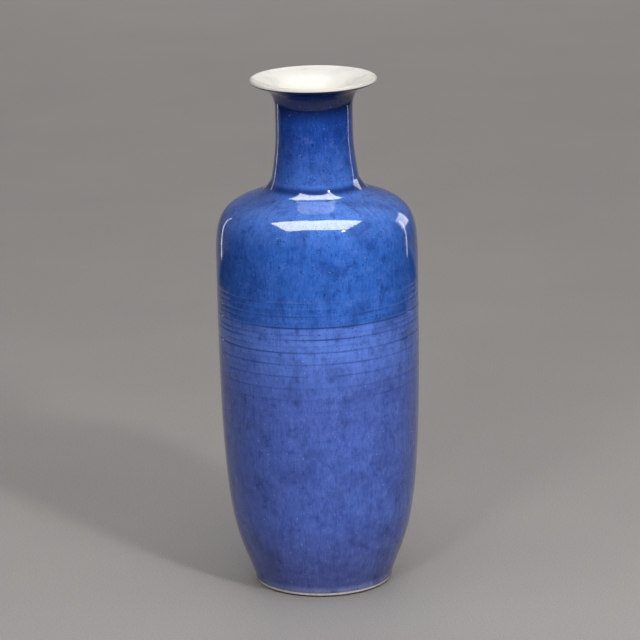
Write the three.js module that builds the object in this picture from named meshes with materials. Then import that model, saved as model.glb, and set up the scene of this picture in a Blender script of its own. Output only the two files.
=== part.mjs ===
// Rouleau vase: porcelain thrown in three sections, luted with slip, glazed blue outside and clear inside.
// Millimetres, +Z up. The origin is the middle of the foot ring, on the surface that the vase stands on.
import * as THREE from "three";

// Rise of each stretch of the glazed outline, from the foot to the top of the lip
const BARE_EDGE = 2.2; // the foot is left bare below the glaze line
const GLAZED_WALL = 1.4; // short upright wall above the glaze line
const LOWER_RISE = 143.9;
const SHOULDER_RISE = 55.1;
const ROOT_RISE = 7.3;
const NECK_RISE = 33.9;
const MOUTH_RISE = 16.2;

// Glazed radius at the end of each stretch
const FOOT_RADIUS = 35;
const BELLY_RADIUS = 50.6;
const SHOULDER_RADIUS = 27.4;
const ROOT_RADIUS = 21.7;
const NECK_RADIUS = 19.3;
const MOUTH_RADIUS = 31.6;
const LIP_RADIUS = 1.1; // rounding of the lip, half as thick as the rim is there

// Direction of the outline where stretches meet, in degrees above level, outwards
const HEEL_HEADING = 71;
const UPRIGHT = 90;
const SHOULDER_HEADING = 163;
const NECK_HEADING = 99;
const LIP_HEADING = 42;

// How far each stretch keeps the direction of its two ends, as a share of its own length
const LOWER_FULLNESS = [0.18, 0.83];
const SHOULDER_FULLNESS = [0.71, 0.45];
const ROOT_FULLNESS = [0.26, 0.15];
const NECK_FULLNESS = [0.5, 0.46];
const MOUTH_FULLNESS = [0.74, 0.24];

// Wall from glaze to glaze, at the end of each stretch
const HEEL_WALL = 6.4;
const BELLY_WALL = 4.4;
const SHOULDER_WALL = 4.8;
const NECK_WALL = 3.6;

// Glaze coats, and the room between a coat and what it lies on
const BLUE_COAT = 0.5;
const CLEAR_COAT = 0.35;
const COAT_ROOM = 0.1;
const GLAZE_ROLL = 0.5; // height of the rounding of the blue coat's lower edge
const ROLL_DEPTH = 0.25; // how much thinner the coat is at that edge

// Floor and turned foot ring
const FLOOR_THICKNESS = 6.5;
const FLOOR_FILLET = 12;
const RECESS_DEPTH = 5;
const RECESS_DOME = 0.8; // how much deeper the recess is in its middle
const RECESS_TAPER = 0.6; // how much narrower the recess is at its ceiling
const FOOT_LAND = 4.6; // flat width that the vase stands on
const OUTER_BEVEL = 0.7;
const INNER_BEVEL = 1.1;
const BASE_GLAZE_LINE = 2.6; // height of the lower edge of the glaze in the recess

// Slip seams: height of each above the ground, the web between sections and the bead inside
const WAIST_SEAM = 144.1;
const NECK_SEAM = 206.6;
const SLIP_WEB = 0.8;
const BEAD_REACH = 2; // how far the bead spreads up and down the wall from the web
const BEAD_RISE = 0.9; // how far it stands into the vase
const BEAD_ROOM = 0.2; // between the bead and the wall beside it, and between bead and glaze
const SWELL_REACH = 5; // length of wall over which the glaze swells, above and below a bead

const SIDES = 36; // facets round every turned surface
const STEPS = { lower: 8, shoulder: 10, root: 3, neck: 2, mouth: 5, lip: 6, fillet: 3 };
const INSIDE_STEPS = { lower: 4, shoulder: 5, root: 2, neck: 1, mouth: 3 };

const porcelain = { color: "#c9c3b4", roughness: 0.75, metalness: 0 };
const slip = { color: "#d6d0c2", roughness: 0.8, metalness: 0 };
const blueGlaze = { color: "#3a55a6", roughness: 0.1, metalness: 0 };
const clearGlaze = { color: "#f6f4ee", roughness: 0.1, metalness: 0 };

const place = (radius, height) => new THREE.Vector2(radius, height);

function heading(degrees) {
  const angle = THREE.MathUtils.degToRad(degrees);
  return place(Math.cos(angle), Math.sin(angle));
}

// One stretch of the outline, which leaves and arrives in the directions given
function stretch(from, leaving, to, arriving, [fullAtStart, fullAtEnd]) {
  const length = from.distanceTo(to);
  const startPull = from.clone().addScaledVector(heading(leaving), fullAtStart * length);
  const endPull = to.clone().addScaledVector(heading(arriving), -fullAtEnd * length);
  return new THREE.CubicBezierCurve(from, startPull, endPull, to);
}

// The glazed outline from the foot wall to the under side of the lip
const footTop = BARE_EDGE + GLAZED_WALL;
const bellyHeight = footTop + LOWER_RISE;
const shoulderHeight = bellyHeight + SHOULDER_RISE;
const rootHeight = shoulderHeight + ROOT_RISE;
const neckHeight = rootHeight + NECK_RISE;
const vaseHeight = neckHeight + MOUTH_RISE;
const lipMiddle = place(MOUTH_RADIUS - LIP_RADIUS, vaseHeight - LIP_RADIUS);
const underLip = lipMiddle.clone().addScaledVector(heading(LIP_HEADING - 90), LIP_RADIUS);

const foot = place(FOOT_RADIUS, footTop);
const belly = place(BELLY_RADIUS, bellyHeight);
const shoulder = place(SHOULDER_RADIUS, shoulderHeight);
const root = place(ROOT_RADIUS, rootHeight);
const neck = place(NECK_RADIUS, neckHeight);

const outline = [
  { part: "lower", walls: [HEEL_WALL, BELLY_WALL],
    curve: stretch(foot, HEEL_HEADING, belly, UPRIGHT, LOWER_FULLNESS) },
  { part: "shoulder", walls: [BELLY_WALL, SHOULDER_WALL],
    curve: stretch(belly, UPRIGHT, shoulder, SHOULDER_HEADING, SHOULDER_FULLNESS) },
  { part: "root", walls: [SHOULDER_WALL, NECK_WALL],
    curve: stretch(shoulder, SHOULDER_HEADING, root, NECK_HEADING, ROOT_FULLNESS) },
  { part: "neck", walls: [NECK_WALL, NECK_WALL],
    curve: stretch(root, NECK_HEADING, neck, UPRIGHT, NECK_FULLNESS) },
  { part: "mouth", walls: [NECK_WALL, 2 * LIP_RADIUS],
    curve: stretch(neck, UPRIGHT, underLip, LIP_HEADING, MOUTH_FULLNESS) },
];

// Stations along the outline: the place, the way out of the wall there and how thick the wall is
function stationsAlong(steps) {
  const stations = [];
  for (const { part, walls, curve } of outline) {
    for (let i = stations.length ? 1 : 0; i <= steps[part]; i++) {
      const share = i / steps[part];
      const along = curve.getTangentAt(share);
      stations.push({
        at: curve.getPointAt(share),
        out: place(along.y, -along.x),
        wall: THREE.MathUtils.lerp(walls[0], walls[1], share),
      });
    }
  }
  return stations;
}

// The round lip, from its under side over the rim to the inside
function lipStations() {
  return Array.from({ length: STEPS.lip + 1 }, (_, i) => {
    const out = heading(LIP_HEADING - 90 + (180 * i) / STEPS.lip);
    return { at: lipMiddle.clone().addScaledVector(out, LIP_RADIUS), out };
  });
}

const lower = ({ at, out }, depth) => at.clone().addScaledVector(out, -depth);

// The place where a run of points crosses a level, and its radius there
function radiusAt(points, level) {
  for (let i = 1; i < points.length; i++) {
    const [a, b] = [points[i - 1], points[i]];
    if ((a.y - level) * (b.y - level) <= 0 && a.y !== b.y) {
      return THREE.MathUtils.lerp(a.x, b.x, (level - a.y) / (b.y - a.y));
    }
  }
  throw new Error("the wall doesn't reach height " + level);
}

// The part of a run of points that lies between two levels, with its ends exactly on them
function between(points, low, high) {
  const kept = points.filter((p) => p.y > low && p.y < high);
  const rising = points[0].y < points[points.length - 1].y;
  const ends = [low, high].map((level) => Number.isFinite(level) && place(radiusAt(points, level), level));
  const [first, last] = rising ? ends : ends.reverse();
  return [first, ...kept, last].filter(Boolean);
}

// The finished inside, from the rim down to the middle of the floor
const floorTop = RECESS_DEPTH + RECESS_DOME + FLOOR_THICKNESS;
const filletTop = floorTop + FLOOR_FILLET;

function insideStations() {
  const wall = stationsAlong(INSIDE_STEPS).reverse();
  const inside = wall.map((s) => ({ at: lower(s, s.wall), out: s.out.clone().negate() }));
  const upright = inside.filter(({ at }) => at.y > filletTop);
  const edge = place(radiusAt(inside.map(({ at }) => at), filletTop), filletTop);
  const corner = place(edge.x - FLOOR_FILLET / 6, floorTop);
  const fillet = new THREE.QuadraticBezierCurve(edge, corner, place(edge.x - FLOOR_FILLET, floorTop));
  for (let i = 0; i <= STEPS.fillet; i++) {
    const along = fillet.getTangent(i / STEPS.fillet);
    upright.push({ at: fillet.getPoint(i / STEPS.fillet), out: place(along.y, -along.x) });
  }
  upright.push({ at: place(0, floorTop), out: place(0, 1) });
  return upright;
}

const outside = stationsAlong(STEPS);
const lip = lipStations();
const inside = insideStations();

// Clay surfaces, below the coats
const blueDepth = BLUE_COAT + COAT_ROOM;
const clearDepth = CLEAR_COAT + COAT_ROOM;
const clayFoot = FOOT_RADIUS - blueDepth;
const clayOutside = outside.map((s) => lower(s, blueDepth));
const clayLip = lip.slice(1).map((s) => lower(s, clearDepth));
const clayInside = inside.map((s) => lower(s, clearDepth));

// Under side of the foot, from the middle of the recess to the glaze line
const landOutside = clayFoot - OUTER_BEVEL;
const landInside = landOutside - FOOT_LAND;
const recessRadius = landInside - INNER_BEVEL;
const ceilingRadius = recessRadius - RECESS_TAPER;
const underside = [
  place(0, RECESS_DEPTH + RECESS_DOME),
  place(ceilingRadius, RECESS_DEPTH),
  place(recessRadius, INNER_BEVEL),
  place(landInside, 0),
  place(landOutside, 0),
  place(clayFoot, OUTER_BEVEL),
];

// A turned solid from its half section, listed upwards on the outside and downwards on the inside
function turned(name, section, finish) {
  const onAxis = section[0].x === 0;
  const closed = onAxis ? section : [...section, section[0]];
  const geometry = new THREE.LatheGeometry(closed, SIDES).rotateX(Math.PI / 2);
  const mesh = new THREE.Mesh(geometry, new THREE.MeshStandardMaterial(finish));
  mesh.name = name;
  return mesh;
}

function lowerBody() {
  const wallOutside = between(clayOutside, -Infinity, WAIST_SEAM);
  const wallInside = between(clayInside, -Infinity, WAIST_SEAM);
  return turned("lower_body", [...underside, ...wallOutside, ...wallInside], porcelain);
}

function upperBody() {
  const bottom = WAIST_SEAM + SLIP_WEB;
  const wallOutside = between(clayOutside, bottom, NECK_SEAM);
  const wallInside = between(clayInside, bottom, NECK_SEAM);
  return turned("upper_body", [...wallOutside, ...wallInside], porcelain);
}

function neckAndMouth() {
  const bottom = NECK_SEAM + SLIP_WEB;
  const wallOutside = between(clayOutside, bottom, Infinity);
  const wallInside = between(clayInside, bottom, Infinity).slice(1);
  return turned("neck", [...wallOutside, ...clayLip, ...wallInside], porcelain);
}

// A ring of slip: the web between two sections, and the bead squeezed out inside the joint
function slipSeam(name, bottom) {
  const top = bottom + SLIP_WEB;
  const bead = (height, rise) => place(radiusAt(clayInside, height) - BEAD_ROOM - rise, height);
  const section = [
    place(radiusAt(clayOutside, bottom), bottom),
    place(radiusAt(clayOutside, top), top),
    bead(top, 0),
    bead(top + BEAD_REACH, 0),
    bead((bottom + top) / 2, BEAD_RISE),
    bead(bottom - BEAD_REACH, 0),
    bead(bottom, 0),
  ];
  return turned(name, section, slip);
}

function blueCoat() {
  const bare = place(FOOT_RADIUS, BARE_EDGE);
  const front = [
    bare.clone().setX(FOOT_RADIUS - ROLL_DEPTH),
    bare.clone().setY(BARE_EDGE + GLAZE_ROLL),
    ...outside.map(({ at }) => at),
  ];
  const back = outside.map((s) => lower(s, BLUE_COAT)).reverse();
  const lowest = bare.clone().setX(FOOT_RADIUS - BLUE_COAT);
  return turned("blue_glaze", [...front, ...back, lowest], blueGlaze);
}

// The clear coat swells over the beads of the slip seams
function swollen(stations) {
  const swellings = [WAIST_SEAM, NECK_SEAM].map((seam) => seam + SLIP_WEB / 2);
  const run = [...stations];
  for (const middle of swellings) {
    const points = stations.map(({ at }) => at);
    const level = (height, rise) => {
      const next = stations.findIndex(({ at }) => at.y < height);
      const out = stations[next - 1].out.clone().lerp(stations[next].out, 0.5).normalize();
      const at = place(radiusAt(points, height), height).addScaledVector(out, rise);
      return { at, out };
    };
    const extra = [
      level(middle + SWELL_REACH, 0),
      level(middle, BEAD_ROOM * 2 + BEAD_RISE + CLEAR_COAT),
      level(middle - SWELL_REACH, 0),
    ];
    const first = run.findIndex(({ at }) => at.y < middle + SWELL_REACH);
    const covered = run.filter(({ at }) => Math.abs(at.y - middle) <= SWELL_REACH).length;
    run.splice(first, covered, ...extra);
  }
  return run;
}

function clearCoat() {
  const run = [...lip.slice(1, -1), ...swollen(inside)];
  const front = run.map(({ at }) => at);
  const back = run.map((s) => lower(s, CLEAR_COAT)).reverse();
  return turned("inner_glaze", [...back, ...front], clearGlaze);
}

function baseCoat() {
  const shallow = COAT_ROOM + CLEAR_COAT;
  const lineShare = (BASE_GLAZE_LINE - INNER_BEVEL) / (RECESS_DEPTH - INNER_BEVEL);
  const lineRadius = THREE.MathUtils.lerp(recessRadius, ceilingRadius, lineShare);
  const section = [
    place(0, RECESS_DEPTH + RECESS_DOME - shallow),
    place(ceilingRadius - shallow, RECESS_DEPTH - shallow),
    place(lineRadius - shallow, BASE_GLAZE_LINE),
    place(lineRadius - COAT_ROOM, BASE_GLAZE_LINE),
    place(ceilingRadius - COAT_ROOM, RECESS_DEPTH - COAT_ROOM),
    place(0, RECESS_DEPTH + RECESS_DOME - COAT_ROOM),
  ];
  return turned("base_glaze", section, clearGlaze);
}

const vase = new THREE.Group();
vase.name = "rouleau_vase";
vase.add(
  lowerBody(),
  upperBody(),
  neckAndMouth(),
  slipSeam("waist_slip_seam", WAIST_SEAM),
  slipSeam("neck_slip_seam", NECK_SEAM),
  blueCoat(),
  clearCoat(),
  baseCoat(),
);

export default vase;
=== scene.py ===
"""A rouleau vase: the thrown porcelain body, the slip that joins it, and the blue and clear glazes over it.

Sizes are in millimetres, as a potter gives them, and the meshes in metres. The origin is the middle of the
foot, and +Z runs up the axis that the vase was turned on.
"""
from bisect import bisect
from math import cos, exp, pi, radians, sin

import bpy
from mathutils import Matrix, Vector, noise
from mathutils.geometry import interpolate_bezier


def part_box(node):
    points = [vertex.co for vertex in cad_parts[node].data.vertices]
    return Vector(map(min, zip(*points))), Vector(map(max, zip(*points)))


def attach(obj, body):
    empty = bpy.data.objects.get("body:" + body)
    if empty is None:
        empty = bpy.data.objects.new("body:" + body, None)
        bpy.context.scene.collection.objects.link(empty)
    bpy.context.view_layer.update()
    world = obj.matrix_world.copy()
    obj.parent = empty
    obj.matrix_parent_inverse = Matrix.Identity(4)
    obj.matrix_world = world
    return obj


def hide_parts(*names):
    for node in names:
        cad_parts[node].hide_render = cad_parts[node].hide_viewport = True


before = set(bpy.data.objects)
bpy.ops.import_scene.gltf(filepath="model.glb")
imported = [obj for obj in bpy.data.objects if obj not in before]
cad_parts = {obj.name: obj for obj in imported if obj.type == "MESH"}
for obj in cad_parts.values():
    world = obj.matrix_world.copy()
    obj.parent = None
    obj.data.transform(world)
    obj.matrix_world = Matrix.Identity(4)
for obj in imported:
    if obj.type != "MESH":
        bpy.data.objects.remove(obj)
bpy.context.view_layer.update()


# Lower body
# Thrown porcelain, fired at about 1300 degrees: the lower wall, the floor and the foot ring, which was
# turned with a hooked tool once the clay was leather hard. The foot's edge is wiped free of glaze.
MM = 0.001

# The potter's template, from the foot wall to the under side of the lip. Each stretch leaves and arrives
# at a heading, in degrees above level, and every piece takes its own surface from this one line.
FOOT_TOP = 3.6
BELLY_HEIGHT = 147.5
SHOULDER_HEIGHT = 202.6
ROOT_HEIGHT = 209.9
NECK_HEIGHT = 243.8
VASE_HEIGHT = 260
FOOT_RADIUS = 35
BELLY_RADIUS = 50.6
SHOULDER_RADIUS = 27.4
ROOT_RADIUS = 21.7
NECK_RADIUS = 19.3
MOUTH_RADIUS = 31.6
LIP_RADIUS = 1.1
LIP_HEADING = 42
FINE_STEP = 0.35  # spacing of points where the turning lines are cut
PLAIN_STEP = 1.4
CURVED_STEP = 0.6


def heading(degrees):
    return Vector((cos(radians(degrees)), sin(radians(degrees))))


def spaced(points, step):
    """The same run of points, about step apart and with both ends kept."""
    lengths = [(b - a).length for a, b in zip(points, points[1:])]
    count = max(2, round(sum(lengths) / step))
    apart = sum(lengths) / count
    kept, gone = [points[0]], 0.0
    for a, b, length in zip(points, points[1:], lengths):
        while len(kept) < count and gone + length >= apart * len(kept):
            kept.append(a.lerp(b, (apart * len(kept) - gone) / length))
        gone += length
    return kept + [points[-1]]


def stretch(start, leaving, start_fullness, end, arriving, end_fullness, step):
    length = (end - start).length
    start_pull = start + heading(leaving) * start_fullness * length
    end_pull = end - heading(arriving) * end_fullness * length
    return spaced(interpolate_bezier(start, start_pull, end_pull, end, 500), step)


lip_middle = Vector((MOUTH_RADIUS - LIP_RADIUS, VASE_HEIGHT - LIP_RADIUS))
under_lip = lip_middle + heading(LIP_HEADING - 90) * LIP_RADIUS
foot_top = Vector((FOOT_RADIUS, FOOT_TOP))
belly = Vector((BELLY_RADIUS, BELLY_HEIGHT))
shoulder = Vector((SHOULDER_RADIUS, SHOULDER_HEIGHT))
root = Vector((ROOT_RADIUS, ROOT_HEIGHT))
neck_waist = Vector((NECK_RADIUS, NECK_HEIGHT))


def template(lower_step, upper_step):
    """The glazed outline, with its points a step apart below the shoulder and another above it."""
    line = stretch(foot_top, 71, 0.18, belly, 90, 0.83, lower_step)
    line += stretch(belly, 90, 0.71, shoulder, 163, 0.45, min(lower_step, PLAIN_STEP))[1:]
    line += stretch(shoulder, 163, 0.26, root, 99, 0.15, upper_step)[1:]
    line += stretch(root, 99, 0.5, neck_waist, 90, 0.46, 2 * upper_step)[1:]
    return line + stretch(neck_waist, 90, 0.74, under_lip, LIP_HEADING, 0.24, upper_step)[1:]


def below(line, depth):
    """A line that lies depth below another one; depth is a number, or gives it for a height."""
    ends = [line[0]] + line + [line[-1]]
    deeper = []
    for before, point, after in zip(ends, line, ends[2:]):
        along = (after - before).normalized()
        down = depth(point.y) if callable(depth) else depth
        deeper.append(point - Vector((along.y, -along.x)) * down)
    return deeper


def radius_at(line, height):
    for a, b in zip(line, line[1:]):
        if (a.y - height) * (b.y - height) <= 0 and a.y != b.y:
            return a.x + (b.x - a.x) * (height - a.y) / (b.y - a.y)
    raise ValueError(f"the line doesn't reach {height} mm")


def between(line, low, high):
    """The part of a rising line between two heights, with its ends exactly on them."""
    kept = [p for p in line if low < p.y < high]
    first = [Vector((radius_at(line, low), low))] if low > line[0].y else []
    last = [Vector((radius_at(line, high), high))] if high < line[-1].y else []
    return first + kept + last


# Thickness of the coats and walls, and the sizes of the floor and the foot ring
BLUE_COAT = 0.5
CLEAR_COAT = 0.35
COAT_ROOM = 0.1
BARE_EDGE = 2.2
FLOOR_TOP = 12.3
FLOOR_FILLET = 12
RECESS_DEPTH = 5
RECESS_DOME = 0.8
RECESS_TAPER = 0.6
FOOT_LAND = 4.6
OUTER_BEVEL = 0.7
INNER_BEVEL = 1.1
WALLS = ((0, 6.4), (147.5, 4.4), (202.6, 4.8), (209.9, 3.6), (243.8, 3.6), (260, 2.2))
BISCUIT = "#c4beac"
BISCUIT_IRON = "#8d7a63"
BISCUIT_PALE = "#dcd7ca"
# black at the foot's outer edge: grime, and a painted contact shadow where it meets the table
GRIME_AND_CONTACT_SHADOW = "#1d1813"
GRIME_AND_SHADOW_HEIGHT = 1.35


def wall_at(height):
    """Thickness of the wall, glaze to glaze."""
    for (low, thick_low), (high, thick_high) in zip(WALLS, WALLS[1:]):
        if height <= high:
            return thick_low + (thick_high - thick_low) * max(0, height - low) / (high - low)
    return WALLS[-1][1]


def lip_arc(steps, depth=0.0):
    turn = [heading(LIP_HEADING - 90 + 180 * i / steps) for i in range(steps + 1)]
    return [lip_middle + out * (LIP_RADIUS - depth) for out in turn]


def floor_curve(wall):
    """The rounded corner from the inner wall, and the flat floor to the axis."""
    edge = Vector((radius_at(wall, FLOOR_TOP + FLOOR_FILLET), FLOOR_TOP + FLOOR_FILLET))
    corner = Vector((edge.x - FLOOR_FILLET / 6, FLOOR_TOP))
    flat = Vector((edge.x - FLOOR_FILLET, FLOOR_TOP))
    start, end = edge.lerp(corner, 2 / 3), flat.lerp(corner, 2 / 3)
    return spaced(interpolate_bezier(edge, start, end, flat, 100), CURVED_STEP * 2)


coarse_outline = template(4 * PLAIN_STEP, CURVED_STEP * 2)
finished_inside = below(coarse_outline, wall_at)
finished_floor = floor_curve(finished_inside)
finished_cavity = list(reversed(between(finished_inside, FLOOR_TOP + FLOOR_FILLET, VASE_HEIGHT)))
finished_cavity += finished_floor[1:] + [Vector((0, FLOOR_TOP))]
clay_outside = below(coarse_outline, BLUE_COAT + COAT_ROOM)
clay_cavity = below(finished_cavity, CLEAR_COAT + COAT_ROOM)
clay_cavity[-1].x = 0
clay_inside = list(reversed(clay_cavity))

clay_foot = FOOT_RADIUS - BLUE_COAT - COAT_ROOM
land_outside = clay_foot - OUTER_BEVEL
land_inside = land_outside - FOOT_LAND
recess_radius = land_inside - INNER_BEVEL
ceiling_radius = recess_radius - RECESS_TAPER


def rounded(points, radius, steps=4):
    """A run of points with its inner corners rounded off."""
    out = [points[0]]
    for before, corner, after in zip(points, points[1:], points[2:]):
        reach_in = min(radius, (before - corner).length / 2.2)
        reach_out = min(radius, (after - corner).length / 2.2)
        start = corner + (before - corner).normalized() * reach_in
        end = corner + (after - corner).normalized() * reach_out
        for i in range(steps + 1):
            t = i / steps
            out.append(start * (1 - t) ** 2 + corner * 2 * t * (1 - t) + end * t * t)
    return out + [points[-1]]


def spun(name, section, columns):
    """A turned solid: its half section drawn point by point, then spun about the axis."""
    bpy.ops.object.select_all(action="DESELECT")
    bpy.ops.mesh.primitive_plane_add(size=MM, location=(0, 0, 0))
    piece = bpy.context.object
    piece.name = piece.data.name = name
    bpy.ops.object.mode_set(mode="EDIT")
    bpy.ops.mesh.merge(type="CENTER")
    closed = section if section[0].x == 0 else section + [section[0]]
    here = Vector((0, 0))
    for i, point in enumerate(closed):
        step = ((point.x - here.x) * MM, 0, (point.y - here.y) * MM)
        if i == 0:
            bpy.ops.transform.translate(value=step)
        else:
            bpy.ops.mesh.extrude_vertices_move(TRANSFORM_OT_translate={"value": step})
        here = point
    bpy.ops.mesh.select_all(action="SELECT")
    bpy.ops.mesh.remove_doubles(threshold=0.004 * MM)
    bpy.ops.mesh.spin(steps=columns, angle=2 * pi, center=(0, 0, 0), axis=(0, 0, 1), use_auto_merge=True)
    bpy.ops.mesh.select_all(action="SELECT")
    bpy.ops.mesh.remove_doubles(threshold=0.004 * MM)
    bpy.ops.mesh.normals_make_consistent(inside=False)
    bpy.ops.object.mode_set(mode="OBJECT")
    bpy.ops.object.shade_smooth_by_angle(angle=radians(50))
    return piece


def linear(text):
    """An sRGB hex colour as the linear colour that a shader takes."""
    parts = [int(text[i:i + 2], 16) / 255 for i in (1, 3, 5)]
    return [p / 12.92 if p <= 0.04045 else ((p + 0.055) / 1.055) ** 2.4 for p in parts] + [1]


def material(name):
    made = bpy.data.materials.new(name)
    made.use_nodes = True
    return made, made.node_tree.nodes["Principled BSDF"]


def add(tree, kind, settings=None, **inputs):
    """Adds a node; an input is a value, or an output of another node to link to it."""
    node = tree.nodes.new(kind)
    for key, value in (settings or {}).items():
        setattr(node, key, value)
    for key, value in inputs.items():
        numbered = key.startswith("in") and key[2:].isdigit()
        socket = node.inputs[int(key[2:]) if numbered else key.replace("_", " ")]
        if isinstance(value, bpy.types.NodeSocket):
            tree.links.new(value, socket)
        else:
            socket.default_value = value
    return node


def blend(tree, factor, low, high):
    """Mixes two colours."""
    return add(tree, "ShaderNodeMix", {"data_type": "RGBA"}, in0=factor, in6=low, in7=high).outputs[2]


def calc(tree, operation, a, b=0.0, c=0.0):
    return add(tree, "ShaderNodeMath", {"operation": operation}, in0=a, in1=b, in2=c).outputs[0]


def ranged(tree, value, low, high, to_low=0.0, to_high=1.0):
    """Takes a value from one range to another, smoothly and held at both ends."""
    node = add(tree, "ShaderNodeMapRange", {"interpolation_type": "SMOOTHSTEP"},
               in0=value, in1=low, in2=high, in3=to_low, in4=to_high)
    return node.outputs[0]


def grain(tree, vector, scale_mm, detail=3.0, roughness=0.5):
    """Noise whose blotches are about this many millimetres across."""
    return add(tree, "ShaderNodeTexNoise", None, Vector=vector, Scale=1 / (scale_mm * MM),
               Detail=detail, Roughness=roughness).outputs["Fac"]


def from_axis(tree, place):
    """Where a point lies across the axis, with its height left out, and how far from the axis that is."""
    axes = add(tree, "ShaderNodeSeparateXYZ", None, Vector=place).outputs
    flat = add(tree, "ShaderNodeCombineXYZ", None, X=axes["X"], Y=axes["Y"]).outputs[0]
    return flat, add(tree, "ShaderNodeVectorMath", {"operation": "LENGTH"}, in0=flat).outputs["Value"]


# Biscuit porcelain is dense and faintly sandy: it takes no highlight, is browner along the line where the
# glaze stops, and is black round the outer edge that it stands on, with grime and a painted contact shadow.
biscuit, shader = material("biscuit_porcelain")
tree = biscuit.node_tree
where = add(tree, "ShaderNodeTexCoord").outputs["Object"]
height = add(tree, "ShaderNodeSeparateXYZ", None, Vector=where).outputs["Z"]
mottle = grain(tree, where, 2.5)
sand = grain(tree, where, 0.35, 2.0)
colour = blend(tree, ranged(tree, mottle, 0.35, 0.65), linear(BISCUIT), linear(BISCUIT_PALE))
iron_line = ranged(tree, height, (BARE_EDGE - 0.9) * MM, BARE_EDGE * MM, 0.0, 0.65)
colour = blend(tree, calc(tree, "MULTIPLY", iron_line, mottle), colour, linear(BISCUIT_IRON))
colour = blend(tree, ranged(tree, sand, 0.58, 0.75, 0.0, 0.4), colour, linear(BISCUIT_IRON))
# painted contact shadow, with grime, in a dark line round the foot's outer edge
grime_and_shadow = ranged(tree, height, GRIME_AND_SHADOW_HEIGHT * 0.6 * MM, GRIME_AND_SHADOW_HEIGHT * MM, 0.9, 0.0)
reach = from_axis(tree, where)[1]
outer_edge = ranged(tree, reach, (land_outside - 1) * MM, (land_outside + 0.1) * MM, 0.15, 1.0)
colour = blend(tree, calc(tree, "MULTIPLY", grime_and_shadow, outer_edge), colour, linear(GRIME_AND_CONTACT_SHADOW))
tree.links.new(colour, shader.inputs["Base Color"])
tree.links.new(ranged(tree, sand, 0.3, 0.7, 0.62, 0.8), shader.inputs["Roughness"])
bump = add(tree, "ShaderNodeBump", None, Height=sand, Distance=0.05 * MM, Strength=0.5)
tree.links.new(bump.outputs[0], shader.inputs["Normal"])
shader.inputs["IOR"].default_value = 1.5

waist_low, waist_high = (corner[2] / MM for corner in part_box("waist_slip_seam"))
neck_low, neck_high = (corner[2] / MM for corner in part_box("neck_slip_seam"))
SLIP_WEB = 0.8
waist_joint = (waist_low + waist_high - SLIP_WEB) / 2
neck_joint = (neck_low + neck_high - SLIP_WEB) / 2

foot_section = [Vector((0, RECESS_DEPTH + RECESS_DOME)), Vector((ceiling_radius, RECESS_DEPTH)),
                Vector((recess_radius, INNER_BEVEL)), Vector((land_inside, 0)),
                Vector((land_outside, 0)), Vector((clay_foot, OUTER_BEVEL)), clay_outside[0]]
lower_section = rounded(foot_section, 0.9)[:-1] + between(clay_outside, -1, waist_joint)
lower_section += list(reversed(between(clay_inside, -1, waist_joint)))
lower_body = spun("lower_body_clay", lower_section, 192)
lower_body.data.materials.append(biscuit)
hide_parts("lower_body")
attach(lower_body, "root")


# Waist and neck slip seams
# The sections are stuck together, or luted, with slip: clay thinned with water. It fills the joint, and
# what squeezes out is left inside as a rounded bead that no tool can reach.
BEAD_REACH = 2
BEAD_RISE = 0.9
BEAD_ROOM = 0.2
SLIP = "#d6d0c2"
SLIP_SHADE = "#bdb6a6"

fired_slip, shader = material("fired_slip")
tree = fired_slip.node_tree
where = add(tree, "ShaderNodeTexCoord").outputs["Object"]
crumb = grain(tree, where, 0.8)
tree.links.new(blend(tree, ranged(tree, crumb, 0.35, 0.65), linear(SLIP_SHADE), linear(SLIP)),
               shader.inputs["Base Color"])
tree.links.new(ranged(tree, crumb, 0.3, 0.7, 0.7, 0.9), shader.inputs["Roughness"])
bump = add(tree, "ShaderNodeBump", None, Height=crumb, Distance=0.1 * MM, Strength=0.6)
tree.links.new(bump.outputs[0], shader.inputs["Normal"])

for name, joint in (("waist_slip", waist_joint), ("neck_slip", neck_joint)):
    top = joint + SLIP_WEB
    tall = SLIP_WEB + 2 * BEAD_REACH
    ring = [Vector((radius_at(clay_outside, joint), joint)), Vector((radius_at(clay_outside, top), top)),
            Vector((radius_at(clay_inside, top) - BEAD_ROOM, top))]
    for i in range(9):
        level = top + BEAD_REACH - tall * i / 8
        rise = BEAD_RISE * sin(pi * i / 8)
        ring.append(Vector((radius_at(clay_inside, level) - BEAD_ROOM - rise, level)))
    ring.append(Vector((radius_at(clay_inside, joint) - BEAD_ROOM, joint)))
    seam = spun(name, ring, 96)
    seam.data.materials.append(fired_slip)
    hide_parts(name + "_seam")
    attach(seam, "root")


# Upper body and neck
# Thrown as separate sections: the upper wall with its rounded shoulder, and the neck with its mouth, whose
# rim is laid outwards on the wheel into a shallow dish.
upper_section = between(clay_outside, waist_joint + SLIP_WEB, neck_joint)
upper_section += list(reversed(between(clay_inside, waist_joint + SLIP_WEB, neck_joint)))
upper_body = spun("upper_body_clay", upper_section, 128)
upper_body.data.materials.append(biscuit)
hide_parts("upper_body")
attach(upper_body, "root")

neck_section = between(clay_outside, neck_joint + SLIP_WEB, VASE_HEIGHT)
neck_section += lip_arc(10, CLEAR_COAT + COAT_ROOM)[1:]
neck_section += list(reversed(between(clay_inside, neck_joint + SLIP_WEB, VASE_HEIGHT)))[1:]
neck = spun("neck_clay", neck_section, 128)
neck.data.materials.append(biscuit)
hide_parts("neck")
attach(neck, "root")


# Clear glaze inside and over the lip
# A clear glaze poured in, swilled round and out over the rim, so that the white body shows through it.
# It is thickest in the dish, where it takes a faint green, and it thins to cream on the lip's edge.
SWELL = BEAD_RISE + 2 * BEAD_ROOM + CLEAR_COAT
SWELL_REACH = 3.2
WHITE = "#e8e5de"
WHITE_DEEP = "#e2e0d9"
LIP_CREAM = "#d8d3c8"

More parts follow.
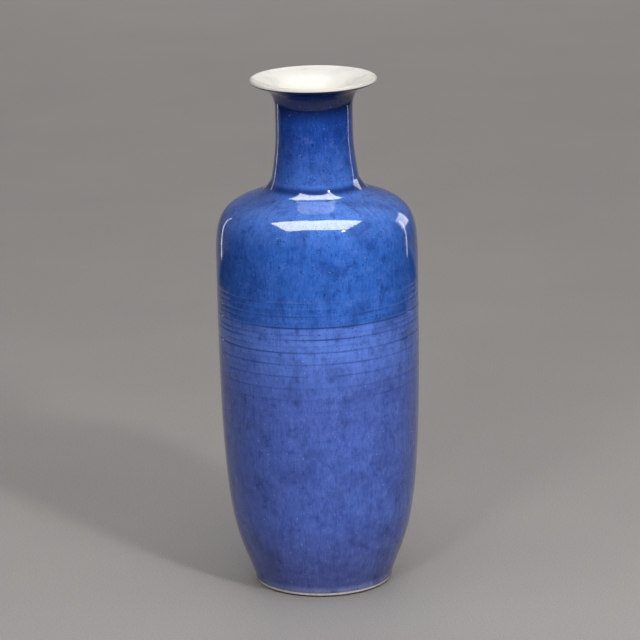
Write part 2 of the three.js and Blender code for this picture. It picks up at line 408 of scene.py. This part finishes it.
clear_glaze, shader = material("clear_glaze_on_porcelain")
tree = clear_glaze.node_tree
where = add(tree, "ShaderNodeTexCoord").outputs["Object"]
height = add(tree, "ShaderNodeSeparateXYZ", None, Vector=where).outputs["Z"]
reach = from_axis(tree, where)[1]
cloud = grain(tree, where, 9)
pits = grain(tree, where, 0.7, 2.0)
colour = blend(tree, ranged(tree, cloud, 0.3, 0.7), linear(WHITE_DEEP), linear(WHITE))
speck = ranged(tree, pits, 0.74, 0.78, 0.0, 0.35)
colour = blend(tree, speck, colour, linear(LIP_CREAM))
over_rim = ranged(tree, reach, (MOUTH_RADIUS - 2.4) * MM, (MOUTH_RADIUS - 0.6) * MM, 0.0, 0.9)
over_rim = calc(tree, "MULTIPLY", over_rim, ranged(tree, height, ROOT_HEIGHT * MM, NECK_HEIGHT * MM))
colour = blend(tree, over_rim, colour, linear(LIP_CREAM))
tree.links.new(colour, shader.inputs["Base Color"])
tree.links.new(ranged(tree, cloud, 0.3, 0.7, 0.24, 0.34), shader.inputs["Roughness"])
peel = grain(tree, where, 2.2, 2.0)
bump = add(tree, "ShaderNodeBump", None, Height=peel, Distance=0.04 * MM, Strength=0.4)
tree.links.new(bump.outputs[0], shader.inputs["Normal"])
shader.inputs["IOR"].default_value = 1.5
shader.inputs["Specular IOR Level"].default_value = 0.06


def swollen(line):
    """The cavity's line, standing over the beads of the two slip seams."""
    out = []
    for point in line:
        for joint in (waist_joint, neck_joint):
            off = (point.y - joint - SLIP_WEB / 2) / SWELL_REACH
            point = point - Vector((SWELL * exp(-off ** 4), 0)) if point.x > SWELL else point
        out.append(point)
    return out


fine_inside = below(template(PLAIN_STEP, CURVED_STEP), wall_at)
front = list(reversed(between(fine_inside, FLOOR_TOP + FLOOR_FILLET, VASE_HEIGHT)))
front = swollen(front) + finished_floor[1:] + [Vector((0, FLOOR_TOP))]
back = below(front, CLEAR_COAT)
back[-1].x = 0
rim_out = lip_arc(16)[2:-1]
rim_in = lip_arc(16, CLEAR_COAT)[2:-1]
coat = list(reversed(back)) + list(reversed(rim_in)) + rim_out + front
inner_glaze = spun("clear_coat", coat, 144)
inner_glaze.data.materials.append(clear_glaze)
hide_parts("inner_glaze")
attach(inner_glaze, "root")


# Glaze in the foot's recess
# The base is glazed as the inside is, and the glaze runs a little down the turned wall of the recess.
BASE_LINE = 2.6
base_depth = CLEAR_COAT + COAT_ROOM
line_share = (BASE_LINE - INNER_BEVEL) / (RECESS_DEPTH - INNER_BEVEL)
line_radius = recess_radius + (ceiling_radius - recess_radius) * line_share
base_front = rounded([Vector((0, RECESS_DEPTH + RECESS_DOME - base_depth)),
                      Vector((ceiling_radius - base_depth, RECESS_DEPTH - base_depth)),
                      Vector((line_radius - base_depth, BASE_LINE)),
                      Vector((line_radius - COAT_ROOM, BASE_LINE))], 0.9)
base_back = rounded([Vector((line_radius - COAT_ROOM, BASE_LINE)),
                     Vector((ceiling_radius - COAT_ROOM, RECESS_DEPTH - COAT_ROOM)),
                     Vector((0, RECESS_DEPTH + RECESS_DOME - COAT_ROOM))], 0.9)
base_glaze = spun("base_coat", base_front + base_back[1:], 128)
base_glaze.data.materials.append(clear_glaze)
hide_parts("base_glaze")
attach(base_glaze, "root")


# Blue glaze
# Cobalt glaze over the whole outside, from the rolled line above the foot to the under side of the lip. The
# wall beneath it keeps the lines of the turning tool round the waist, where the glaze pools and darkens.
GLAZE_ROLL = 0.5
ROLL_DEPTH = 0.25
LINE_WIDTH = 0.42
LINE_TILT = 0.015  # the turned lines lie a little off level
WAIST_LINE = 144.5  # the deepest line, where the tool was set to the wall
LINE_FEED = 3.1  # how far the tool was moved between lines; every second line is pressed harder
LINE_WANDER = 0.6
LINE_DEPTH = 0.2
LINE_FADE = 34  # below the waist line they get shallower over this many millimetres
FAINT_LINE = 0.45
LINES_BELOW = 18
LINES_ABOVE = 4
LINES_FROM = WAIST_LINE - (LINES_BELOW + 1) * LINE_FEED
LINES_TO = WAIST_LINE + (LINES_ABOVE + 1) * LINE_FEED

turned_lines = []
for i in range(-LINES_BELOW, LINES_ABOVE + 1):
    wander = LINE_WANDER * noise.noise(Vector((i * 0.7, 0, 0))) if i else 0
    share = exp(i * LINE_FEED / LINE_FADE) if i <= 0 else FAINT_LINE
    if i % 2:
        share *= FAINT_LINE
    turned_lines.append((WAIST_LINE + i * LINE_FEED + wander, LINE_DEPTH * share))


def turning_line(place_mm):
    """How deep the tool's lines lie here, in mm; they fade in and out on their way round."""
    across, away, up = place_mm
    depth = 0.0
    for line_height, line_depth in turned_lines:
        off = (up - line_height - across * LINE_TILT) / LINE_WIDTH
        if abs(off) < 3:
            pressed = noise.noise(Vector((across / 26, away / 26, line_height * 1.7)))
            depth += line_depth * exp(-off * off) * max(0.35, 0.85 + 0.9 * pressed)
    return depth


blue_front = between(template(PLAIN_STEP, CURVED_STEP), -1, LINES_FROM)[:-1]
blue_front += between(template(FINE_STEP, CURVED_STEP), LINES_FROM, LINES_TO)
blue_front += between(template(PLAIN_STEP, CURVED_STEP), LINES_TO, VASE_HEIGHT)[1:]
roll = rounded([Vector((FOOT_RADIUS - BLUE_COAT, BARE_EDGE + COAT_ROOM)),
                Vector((FOOT_RADIUS - ROLL_DEPTH, BARE_EDGE)),
                Vector((FOOT_RADIUS, BARE_EDGE + GLAZE_ROLL)), blue_front[0]], 0.3, 3)
blue_back = list(reversed(below(template(6 * PLAIN_STEP, CURVED_STEP * 2), BLUE_COAT)))
blue_glaze = spun("blue_coat", roll[:-1] + blue_front + blue_back, 180)

lined = [p for p in blue_front if LINES_FROM - 1 <= p.y <= LINES_TO + 1]
lined_heights = [p.y for p in lined]
lines_seen = blue_glaze.data.attributes.new("turning_line", "FLOAT", "POINT")
for i, vertex in enumerate(blue_glaze.data.vertices):
    spot = vertex.co / MM
    if not LINES_FROM < spot.z < LINES_TO:
        continue
    reach = spot.to_2d().length
    if reach < lined[bisect(lined_heights, spot.z)].x - BLUE_COAT / 2:
        continue
    depth = turning_line(spot)
    lines_seen.data[i].value = depth
    vertex.co.x *= 1 - depth / reach
    vertex.co.y *= 1 - depth / reach

# The glaze's blues: slate where it gathered over the foot, a greyer violet up to the waist line, clear cobalt
# above that, lighter on the shoulder as painted light under its highlight, and dark under the lip as painted
# shadow
ROLL_BLUE = "#7280b4"
HEEL_BLUE = "#4e5b9f"
LOWER_BLUE = "#4865be"
BELOW_WAIST_BLUE = "#5a80de"
UPPER_BLUE = "#346ac8"
# painted light: the shoulder made paler where the overhead light falls on it and glows below its highlight
SHOULDER_PAINTED_LIGHT_BLUE = "#5a8be8"
NECK_BLUE = "#204ca4"
# a painted shadow, cast by the lip on the top of the neck
LIP_SHADOW_BLUE = "#081840"
glaze_blues = ((BARE_EDGE + 2, ROLL_BLUE), (BARE_EDGE + 4, HEEL_BLUE), (LINES_FROM / 2, LOWER_BLUE),
               (LINES_FROM + 20, LOWER_BLUE), (WAIST_LINE - 12, BELOW_WAIST_BLUE), (WAIST_LINE - 1, BELOW_WAIST_BLUE),
               (WAIST_LINE + 0.5, UPPER_BLUE), (SHOULDER_HEIGHT - 20, UPPER_BLUE),
               (SHOULDER_HEIGHT - 5, SHOULDER_PAINTED_LIGHT_BLUE), (ROOT_HEIGHT + 20, NECK_BLUE),
               (NECK_HEIGHT - 5, NECK_BLUE), (NECK_HEIGHT + 3, LIP_SHADOW_BLUE))
DEEP_COBALT = "#182c6b"
SPECK_BLUE = "#101f57"
SPECKS_THIN_OUT = 100  # fewer specks below this height
PALE_COBALT = "#7c90dd"
PINHOLE = "#c3caea"

cobalt_glaze, shader = material("cobalt_glaze")
tree = cobalt_glaze.node_tree
where = add(tree, "ShaderNodeTexCoord").outputs["Object"]
axes = add(tree, "ShaderNodeSeparateXYZ", None, Vector=where).outputs
flat, reach = from_axis(tree, where)
round_way = add(tree, "ShaderNodeVectorMath", {"operation": "NORMALIZE"}, in0=flat).outputs["Vector"]

# Colour by height: greyer and more violet below the waist line, clear cobalt above it, with painted light on
# the shoulder and painted shadow under the lip
bands = add(tree, "ShaderNodeValToRGB")
wobble = calc(tree, "MULTIPLY_ADD", grain(tree, where, 12), 3 * MM, -1.5 * MM)
tilted = calc(tree, "MULTIPLY_ADD", axes["X"], -LINE_TILT, axes["Z"])
steadier = ranged(tree, axes["Z"], (WAIST_LINE - 4.5) * MM, (WAIST_LINE + 5.5) * MM, 1.0, 0.1)
low_wobble = calc(tree, "MULTIPLY", wobble, steadier)
level = calc(tree, "DIVIDE", calc(tree, "ADD", tilted, low_wobble), VASE_HEIGHT * MM)
tree.links.new(level, bands.inputs[0])
ramp = bands.color_ramp
while len(ramp.elements) < len(glaze_blues):
    ramp.elements.new(0.5)
for element, (stop_height, stop_colour) in zip(ramp.elements, glaze_blues):
    element.position = stop_height / VASE_HEIGHT
    element.color = linear(stop_colour)
colour = bands.outputs["Color"]

# Runs: the glaze flows down the wall in fine threads, and out over the shoulder from the neck
STREAK_WIDTH = 0.8
# the way the front light comes from, and how dark the painted shade on the sides is
FRONT_LIGHT_WAY = (0.3, -0.954, 0)
PAINTED_SIDE_SHADE = 0.5
STREAK_LENGTH = 3.2
run = calc(tree, "MULTIPLY_ADD", reach, -0.8, axes["Z"])
belly_way = add(tree, "ShaderNodeVectorMath", {"operation": "SCALE"}, in0=round_way,
                Scale=BELLY_RADIUS * MM).outputs["Vector"]
way = add(tree, "ShaderNodeSeparateXYZ", None, Vector=belly_way).outputs
drawn = calc(tree, "MULTIPLY", run, STREAK_WIDTH / STREAK_LENGTH)
threads = add(tree, "ShaderNodeCombineXYZ", None, X=way["X"], Y=way["Y"], Z=drawn).outputs[0]
fine_run = grain(tree, threads, STREAK_WIDTH, 5.0, 0.65)
broad_run = grain(tree, threads, STREAK_WIDTH * 4, 4.0, 0.6)
mottle = grain(tree, where, 5, 5.0, 0.62)
cloudy = grain(tree, where, 17, 3.0, 0.55)
colour = blend(tree, ranged(tree, fine_run, 0.5, 0.75, 0.0, 0.34), colour, linear(DEEP_COBALT))
# pale runs are mostly held back under the lip, so its painted shadow stays dark
outside_lip_shadow = ranged(tree, axes["Z"], (NECK_HEIGHT - 9.8) * MM, (NECK_HEIGHT + 0.2) * MM, 1.0, 0.15)
pale_run = calc(tree, "MULTIPLY", outside_lip_shadow, ranged(tree, fine_run, 0.5, 0.28, 0.0, 0.18))
colour = blend(tree, pale_run, colour, linear(PALE_COBALT))
colour = blend(tree, ranged(tree, broad_run, 0.5, 0.75, 0.0, 0.32), colour, linear(DEEP_COBALT))
pale_run = calc(tree, "MULTIPLY", outside_lip_shadow, ranged(tree, broad_run, 0.48, 0.25, 0.0, 0.14))
colour = blend(tree, pale_run, colour, linear(PALE_COBALT))
colour = blend(tree, ranged(tree, mottle, 0.48, 0.75, 0.0, 0.5), colour, linear(DEEP_COBALT))
pale_mottle = calc(tree, "MULTIPLY", outside_lip_shadow, ranged(tree, mottle, 0.48, 0.25, 0.0, 0.25))
colour = blend(tree, pale_mottle, colour, linear(PALE_COBALT))
colour = blend(tree, ranged(tree, cloudy, 0.48, 0.72, 0.0, 0.4), colour, linear(DEEP_COBALT))

# Painted shade: the sides are darkened the further they turn from the front light, which comes a little from
# the right
toward_light = add(tree, "ShaderNodeVectorMath", {"operation": "DOT_PRODUCT"}, in0=round_way, in1=FRONT_LIGHT_WAY)
toward_light = toward_light.outputs["Value"]
side_shade = calc(tree, "MULTIPLY_ADD", calc(tree, "MULTIPLY", toward_light, toward_light), -PAINTED_SIDE_SHADE, PAINTED_SIDE_SHADE)
colour = blend(tree, side_shade, colour, linear(DEEP_COBALT))

# Specks of cobalt that stayed dark, and pinholes where bubbles broke
speck = grain(tree, where, 0.95, 2.0)
fewer_below = ranged(tree, axes["Z"], SPECKS_THIN_OUT * MM, (SPECKS_THIN_OUT + 60) * MM, 0.35, 1.0)
speck = calc(tree, "MULTIPLY", ranged(tree, speck, 0.645, 0.7, 0.0, 0.8), fewer_below)
colour = blend(tree, speck, colour, linear(SPECK_BLUE))
hole = grain(tree, where, 0.7, 1.0)
colour = blend(tree, ranged(tree, hole, 0.755, 0.79, 0.0, 0.7), colour, linear(PINHOLE))

# Pooled glaze is darker in the turning lines; the hollow at the neck's root is darkened for pooled glaze and
# as painted shade in its crease
pooled = add(tree, "ShaderNodeAttribute", {"attribute_name": "turning_line"}).outputs["Fac"]
colour = blend(tree, ranged(tree, pooled, 0.01, 0.17, 0.0, 0.75), colour, linear(DEEP_COBALT))
HOLLOW_HEIGHT = ROOT_HEIGHT - 3.5
# pooled glaze, and painted shade in the crease at the neck's root
hollow_pool_and_shade = ranged(tree, axes["Z"], (HOLLOW_HEIGHT - 2.9) * MM, (HOLLOW_HEIGHT - 0.2) * MM, 0.0, 0.85)
above_hollow = ranged(tree, axes["Z"], (HOLLOW_HEIGHT + 0.2) * MM, (HOLLOW_HEIGHT + 3) * MM, 1.0, 0.0)
hollow_pool_and_shade = calc(tree, "MULTIPLY", hollow_pool_and_shade, above_hollow)
colour = blend(tree, hollow_pool_and_shade, colour, linear(DEEP_COBALT))
tree.links.new(colour, shader.inputs["Base Color"])

# A full gloss, a little uneven where the runs stand and sink
tree.links.new(ranged(tree, broad_run, 0.3, 0.7, 0.05, 0.1), shader.inputs["Roughness"])
peel = grain(tree, where, 3.2, 2.0, 0.4)
relief = calc(tree, "MULTIPLY_ADD", fine_run, 0.35, peel)
relief = calc(tree, "MULTIPLY_ADD", hole, -0.25, relief)
bump = add(tree, "ShaderNodeBump", None, Height=relief, Distance=0.05 * MM, Strength=0.35)
tree.links.new(bump.outputs[0], shader.inputs["Normal"])
shader.inputs["IOR"].default_value = 1.52
blue_glaze.data.materials.append(cobalt_glaze)
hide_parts("blue_glaze")
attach(blue_glaze, "root")


# Studio
# A grey table under soft light: a long softbox overhead, a small lamp that glints on the shoulder, two lamps
# low in front that throw the long shadows, and strips and a card at the sides that only the gloss shows.
FLOOR_RADIUS = 4.0
TABLE_REACH = 0.54  # the gloss shows the table as far as this in front, and a dark room beyond it
SIDE_REACH = 0.61  # the same at the two sides
FRONT_ENDS = 0.24  # how far behind the vase the dark room in front of it ends
SIDES_END = 0.5
TABLE_GREY = "#9e9a98"
TABLE_GREY_PALE = "#a6a29f"
TABLE_FLECK = "#787573"
ROOM_DARK = "#0d0d10"
bpy.ops.object.select_all(action="DESELECT")
bpy.ops.mesh.primitive_circle_add(vertices=128, radius=FLOOR_RADIUS, fill_type="NGON", location=(0, 0, 0))
table = bpy.context.object
table.name = "table_top"
table_paint, shader = material("matt_table_paint")
tree = table_paint.node_tree
where = add(tree, "ShaderNodeTexCoord").outputs["Object"]
cloud = grain(tree, where, 120)
fleck = grain(tree, where, 0.9, 4.0, 0.7)
colour = blend(tree, cloud, linear(TABLE_GREY), linear(TABLE_GREY_PALE))
colour = blend(tree, ranged(tree, fleck, 0.42, 0.7, 0.0, 0.45), colour, linear(TABLE_FLECK))
tree.links.new(colour, shader.inputs["Base Color"])
shader.inputs["Roughness"].default_value = 0.9
shader.inputs["Specular IOR Level"].default_value = 0.2
away = add(tree, "ShaderNodeVectorMath", {"operation": "LENGTH"}, in0=where).outputs["Value"]
behind = add(tree, "ShaderNodeSeparateXYZ", None, Vector=where).outputs["Y"]
past_front = ranged(tree, away, TABLE_REACH, TABLE_REACH + 0.02)
past_front = calc(tree, "MULTIPLY", past_front, ranged(tree, behind, FRONT_ENDS, FRONT_ENDS + 0.05, 1.0, 0.0))
past_side = ranged(tree, away, SIDE_REACH, SIDE_REACH + 0.04)
past_side = calc(tree, "MULTIPLY", past_side, ranged(tree, behind, SIDES_END, SIDES_END + 0.1, 1.0, 0.0))
past_edge = calc(tree, "MAXIMUM", past_front, past_side)
in_gloss = calc(tree, "MULTIPLY", past_edge, add(tree, "ShaderNodeLightPath").outputs["Is Glossy Ray"])
dark = add(tree, "ShaderNodeEmission", None, Color=linear(ROOM_DARK), Strength=1.0).outputs[0]
surface = add(tree, "ShaderNodeMixShader", None, in0=in_gloss, in1=shader.outputs[0], in2=dark).outputs[0]
tree.links.new(surface, tree.nodes["Material Output"].inputs["Surface"])
table.data.materials.append(table_paint)


def softbox(name, location, aim, wide, deep, power, lights=True, glints=True):
    """An area lamp; it lights the scene, or is seen in the gloss, or both."""
    bpy.ops.object.light_add(type="AREA", location=location)
    lamp = bpy.context.object
    lamp.name = name
    lamp.data.shape = "RECTANGLE"
    lamp.data.size, lamp.data.size_y = wide, deep
    lamp.data.energy = power
    lamp.rotation_euler = (Vector(aim) - Vector(location)).to_track_quat("-Z", "Y").to_euler()
    lamp.visible_camera = False
    lamp.visible_diffuse = lights
    lamp.visible_glossy = glints
    return lamp


softbox("overhead_softbox", (0, -0.19, 1.45), (0, -0.19, 0), 1.5, 0.8, 5.7, glints=False)
softbox("overhead_diffuser", (0, -0.235, 1.46), (0, -0.235, 0), 1.5, 0.89, 56, lights=False)
softbox("glint_lamp", (0.75, -0.85, 1.5), (0, 0, 0.15), 0.12, 0.12, 1.8)
softbox("low_key_lamp", (0.56, -0.86, 0.88), (0, 0, 0.1), 0.11, 0.11, 6.6, glints=False)
softbox("left_key_lamp", (-0.40, -1.05, 0.66), (0, 0, 0.1), 0.2, 0.2, 4.2, glints=False)
softbox("front_softbox", (0.08, -1.5, 0.75), (0, 0, 0.1), 0.6, 0.5, 3.6, glints=False)
softbox("back_softbox", (0, 1.0, 1.5), (0, 1.0, 0), 2.0, 0.5, 4.5, glints=False)
softbox("far_softbox", (0, 3.0, 1.3), (0, 0, 0.1), 2.0, 1.0, 29, glints=False)
softbox("left_strip", (-0.370, 0.364, 0.215), (0, 0, 0.215), 0.012, 0.31, 0.07, lights=False)
softbox("right_strip", (0.456, 0.260, 0.205), (0, 0, 0.205), 0.014, 0.28, 0.08, lights=False)
softbox("right_card", (0.455, 0.335, 0.32), (0, 0, 0.19), 0.22, 0.2, 0.5, lights=False)

world = bpy.data.worlds.new("studio_air")
bpy.context.scene.world = world
world.use_nodes = True
tree = world.node_tree
tree.nodes.clear()
ray = add(tree, "ShaderNodeLightPath").outputs
way_out = add(tree, "ShaderNodeTexCoord").outputs["Generated"]
backwards = add(tree, "ShaderNodeSeparateXYZ", None, Vector=way_out).outputs["Y"]
mirrored = blend(tree, ranged(tree, backwards, 0.40, 0.44), linear(ROOM_DARK), linear("#77716f"))
soft_fill = blend(tree, ranged(tree, backwards, -0.2, 0.5), linear("#6f6e70"), linear("#434141"))
lit = blend(tree, ray["Is Glossy Ray"], soft_fill, mirrored)
seen = blend(tree, ray["Is Camera Ray"], lit, linear("#85807e"))
background = add(tree, "ShaderNodeBackground", None, Color=seen, Strength=1.0)
add(tree, "ShaderNodeOutputWorld", None, Surface=background.outputs[0])

# The camera stands 1.92 m away, 14.9 degrees above level, with a long lens, and is held a little askew
CAMERA_DISTANCE = 1.92
CAMERA_ELEVATION = radians(14.9)
CAMERA_ROLL = radians(1.265)
LENS = 214.3
middle = Vector((0, 0, 0.130))
aim = Vector((0.0008, 0, 0.1355))
from_middle = Vector((0, -cos(CAMERA_ELEVATION), sin(CAMERA_ELEVATION))) * CAMERA_DISTANCE
bpy.ops.object.camera_add(location=middle + from_middle)
camera = bpy.context.object
camera.name = "camera"
camera.data.lens = LENS
camera.data.sensor_width = 36
camera.rotation_euler = (aim - camera.location).to_track_quat("-Z", "Y").to_euler()
camera.rotation_euler.rotate_axis("Z", -CAMERA_ROLL)
bpy.context.scene.camera = camera
bpy.context.scene.view_settings.view_transform = "Standard"
